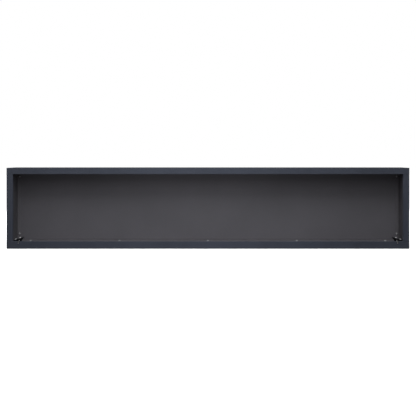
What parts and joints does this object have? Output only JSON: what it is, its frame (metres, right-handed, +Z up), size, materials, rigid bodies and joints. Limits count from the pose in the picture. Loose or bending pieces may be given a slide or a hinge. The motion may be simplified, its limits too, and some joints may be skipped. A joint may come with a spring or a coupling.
{
  "type": "electric fireplace",
  "caption": "Long, low linear electric fireplace: steel casing round an open, shallow fire recess with a dark screen, flame rotors and a fan heater behind it.",
  "frame": {"origin": "centre of the base's underside", "axes": "+X along the width, to the right seen from the front; +Y from the open front to the back; +Z up"},
  "size_m": [1.8, 0.16, 0.362],
  "materials": {
    "anthracite_coat": "satin powder coat, blue-grey anthracite",
    "recess_coat": "matt heat-resistant coat, charcoal",
    "black_coat": "semi-gloss coat, black",
    "screen_surface": "fine satin projection surface, charcoal",
    "zinc_steel": "bright zinc plate",
    "bright_foil": "bright rolled aluminium",
    "white_plastic": "moulded nylon, off-white",
    "black_plastic": "fine-spark moulded ABS, black",
    "dark_lens": "polished, infrared-passing",
    "green_board": "solder-masked laminate",
    "white_board": "white solder mask",
    "motor_steel": "stacked laminations with a wound coil",
    "cable_sheath": "matt sheath, black"
  },
  "bodies": {
    "casing": {"frame_top_rail": "anthracite_coat", "frame_bottom_rail": "anthracite_coat", "frame_left_stile": "anthracite_coat", "frame_right_stile": "anthracite_coat", "casing_top": "anthracite_coat", "casing_base": "anthracite_coat", "casing_left_side": "anthracite_coat", "casing_right_side": "anthracite_coat", "rear_cover": "anthracite_coat", "recess_floor": "recess_coat", "recess_ceiling": "recess_coat", "recess_left_wall": "recess_coat", "recess_right_wall": "recess_coat", "outlet_grille": "recess_coat", "glass_bracket_left": "black_coat", "glass_bracket_right": "black_coat", "flame_screen": "screen_surface", "floor_support_rail": "zinc_steel", "hanging_bracket_left": "zinc_steel", "hanging_bracket_right": "zinc_steel", "floor_screw_1": "zinc_steel", "floor_screw_2": "zinc_steel", "floor_screw_3": "zinc_steel", "floor_screw_4": "zinc_steel", "floor_screw_5": "zinc_steel", "screen_screw_1": "zinc_steel", "screen_screw_2": "zinc_steel", "screen_screw_3": "zinc_steel", "screen_screw_4": "zinc_steel", "glass_clip_left": "zinc_steel", "glass_clip_right": "zinc_steel", "motor_bracket_left": "zinc_steel", "motor_bracket_right": "zinc_steel", "flicker_motor_left": "zinc_steel", "flicker_motor_right": "zinc_steel", "blower_scroll": "zinc_steel", "heater_case": "zinc_steel", "junction_cover": "zinc_steel", "flame_reflector": "bright_foil", "heating_element": "bright_foil", "rotor_centre_bearing": "white_plastic", "thermal_cutout": "white_plastic", "terminal_block": "white_plastic", "control_bezel": "black_plastic", "rocker_housing": "black_plastic", "receiver_window": "dark_lens", "control_board": "green_board", "switch_board": "green_board", "led_strip_left": "white_board", "led_strip_right": "white_board", "blower_motor": "motor_steel", "supply_lead": "cable_sheath", "heater_lead": "cable_sheath"},
    "flame_rotor_left": {"flame_rotor_left": "bright_foil"},
    "flame_rotor_right": {"flame_rotor_right": "bright_foil"},
    "blower_wheel": {"blower_wheel": "bright_foil"},
    "power_rocker": {"power_rocker": "black_plastic"},
    "flame_button": {"flame_button": "black_plastic"},
    "heat_button": {"heat_button": "black_plastic"},
    "timer_button": {"timer_button": "black_plastic"}
  },
  "joints": [
    {"name": "flame_rotor_left_spin", "type": "hinge", "parent": "casing", "child": "flame_rotor_left", "pos_m": [-0.42, 0.052, 0.062], "axis": [1, 0, 0], "continuous": true},
    {"name": "flame_rotor_right_spin", "type": "hinge", "parent": "casing", "child": "flame_rotor_right", "pos_m": [0.42, 0.052, 0.062], "axis": [1, 0, 0], "continuous": true},
    {"name": "blower_spin", "type": "hinge", "parent": "casing", "child": "blower_wheel", "pos_m": [0, 0.048, 0.296], "axis": [1, 0, 0], "continuous": true},
    {"name": "power_rocker_tilt", "type": "hinge", "parent": "casing", "child": "power_rocker", "pos_m": [0.72, -0.042, 0.3368], "axis": [0, -1, 0], "range_deg": [0, 14]},
    {"name": "flame_button_press", "type": "slide", "parent": "casing", "child": "flame_button", "axis": [0, 0, 1], "range_m": [0, 0.0015], "stiffness_N_per_m": 400},
    {"name": "heat_button_press", "type": "slide", "parent": "casing", "child": "heat_button", "axis": [0, 0, 1], "range_m": [0, 0.0015], "stiffness_N_per_m": 400},
    {"name": "timer_button_press", "type": "slide", "parent": "casing", "child": "timer_button", "axis": [0, 0, 1], "range_m": [0, 0.0015], "stiffness_N_per_m": 400}
  ]
}
